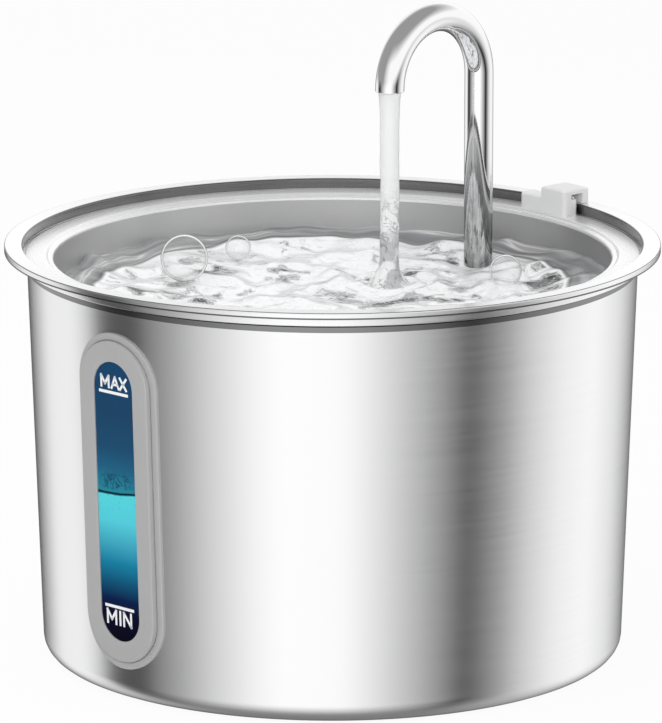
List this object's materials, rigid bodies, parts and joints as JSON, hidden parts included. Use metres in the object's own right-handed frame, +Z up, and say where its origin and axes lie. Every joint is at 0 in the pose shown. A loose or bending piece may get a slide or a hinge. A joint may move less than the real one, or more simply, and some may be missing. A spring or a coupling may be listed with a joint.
{
  "type": "pet water fountain",
  "caption": "Round steel pet water fountain with a gooseneck spout, lift-out drinking tray, level window, and a pump and filter box inside.",
  "frame": {"origin": "on the floor under the middle of the round base", "axes": "+Z up, the window faces -Y, the spout and the cord clip stand on the +Y side, +X to the right seen from the window"},
  "size_m": [0.21, 0.21, 0.2058],
  "materials": {
    "bucket_steel": "brushed round the wall, satin",
    "tray_steel": "satin, brushed round the flange",
    "polished_steel": "mirror polished tube",
    "screw_steel": "plain machined",
    "shaft_steel": "ground",
    "bezel_grey": "fine satin moulding",
    "window_pane": "clear moulding over the blue of the water, glossy",
    "white_plastic": "smooth white moulding",
    "box_plastic": "smooth pale moulding",
    "clear_silicone": "soft satin silicone",
    "black_rubber": "matt rubber",
    "filter_foam": "open-cell foam",
    "carbon_felt": "felt charged with carbon",
    "cotton_felt": "loose white felt",
    "pump_plastic": "black moulding",
    "potting_resin": "poured resin",
    "core_iron": "stacked laminations",
    "coil_copper": "enamelled copper winding",
    "impeller_plastic": "white moulding",
    "magnet": "bonded ferrite",
    "adjuster_plastic": "grey moulding"
  },
  "bodies": {
    "bucket": {"bucket": "bucket_steel", "rubber_feet": "black_rubber", "window_bezel": "bezel_grey", "window_pane": "window_pane", "window_gasket": "clear_silicone", "window_retainer": "white_plastic", "window_screws": "screw_steel"},
    "tray": {"tray": "tray_steel", "spout_grommet": "clear_silicone"},
    "spout": {"spout_tube": "polished_steel", "spout_sleeve": "white_plastic"},
    "clip": {"cord_clip": "white_plastic"},
    "box_lid": {"filter_box_lid": "box_plastic"},
    "cartridge": {"cartridge_frame": "white_plastic", "carbon_pad": "carbon_felt", "cotton_pad": "cotton_felt"},
    "filter_box": {"filter_box": "box_plastic", "prefilter_foam": "filter_foam"},
    "pump": {"pump_housing": "pump_plastic", "pump_potting_cap": "potting_resin", "pump_core": "core_iron", "pump_coil": "coil_copper", "pump_cable_gland": "black_rubber", "pump_suction_cups": "clear_silicone", "pump_cover": "pump_plastic", "pump_shaft": "shaft_steel", "shaft_bushes": "black_rubber", "riser_tube": "clear_silicone"},
    "impeller": {"impeller": "impeller_plastic", "rotor_magnet": "magnet"},
    "adjuster": {"flow_adjuster": "adjuster_plastic"}
  },
  "joints": [
    {"name": "tray_lift", "type": "slide", "parent": "bucket", "child": "tray", "axis": [0, 0, 1], "range_m": [0, 0.15]},
    {"name": "spout_swivel", "type": "hinge", "parent": "tray", "child": "spout", "pos_m": [0, 0.0684, 0.109], "axis": [0, 0, 1], "range_deg": [-90, 90]},
    {"name": "clip_lift", "type": "slide", "parent": "tray", "child": "clip", "axis": [0, 0, 1], "range_m": [0, 0.03]},
    {"name": "lid_lift", "type": "slide", "parent": "bucket", "child": "box_lid", "axis": [0, 0, 1], "range_m": [0, 0.1125]},
    {"name": "cartridge_lift", "type": "slide", "parent": "bucket", "child": "cartridge", "axis": [0, 0, 1], "range_m": [0, 0.0825]},
    {"name": "pump_lift", "type": "slide", "parent": "bucket", "child": "pump", "axis": [0, 0, 1], "range_m": [0, 0.0525]},
    {"name": "box_lift", "type": "slide", "parent": "bucket", "child": "filter_box", "axis": [0, 0, 1], "range_m": [0, 0.0225]},
    {"name": "impeller_spin", "type": "hinge", "parent": "pump", "child": "impeller", "pos_m": [0, 0.0619, 0.0279], "axis": [0, 1, 0], "continuous": true},
    {"name": "adjuster_turn", "type": "hinge", "parent": "pump", "child": "adjuster", "pos_m": [0, 0.0785, 0.0279], "axis": [0, 1, 0], "range_deg": [0, 45]}
  ],
  "couplings": [
    {"joint": "box_lift", "follows": "tray_lift", "ratio": 0.15},
    {"joint": "pump_lift", "follows": "tray_lift", "ratio": 0.35},
    {"joint": "cartridge_lift", "follows": "tray_lift", "ratio": 0.55},
    {"joint": "lid_lift", "follows": "tray_lift", "ratio": 0.75}
  ]
}
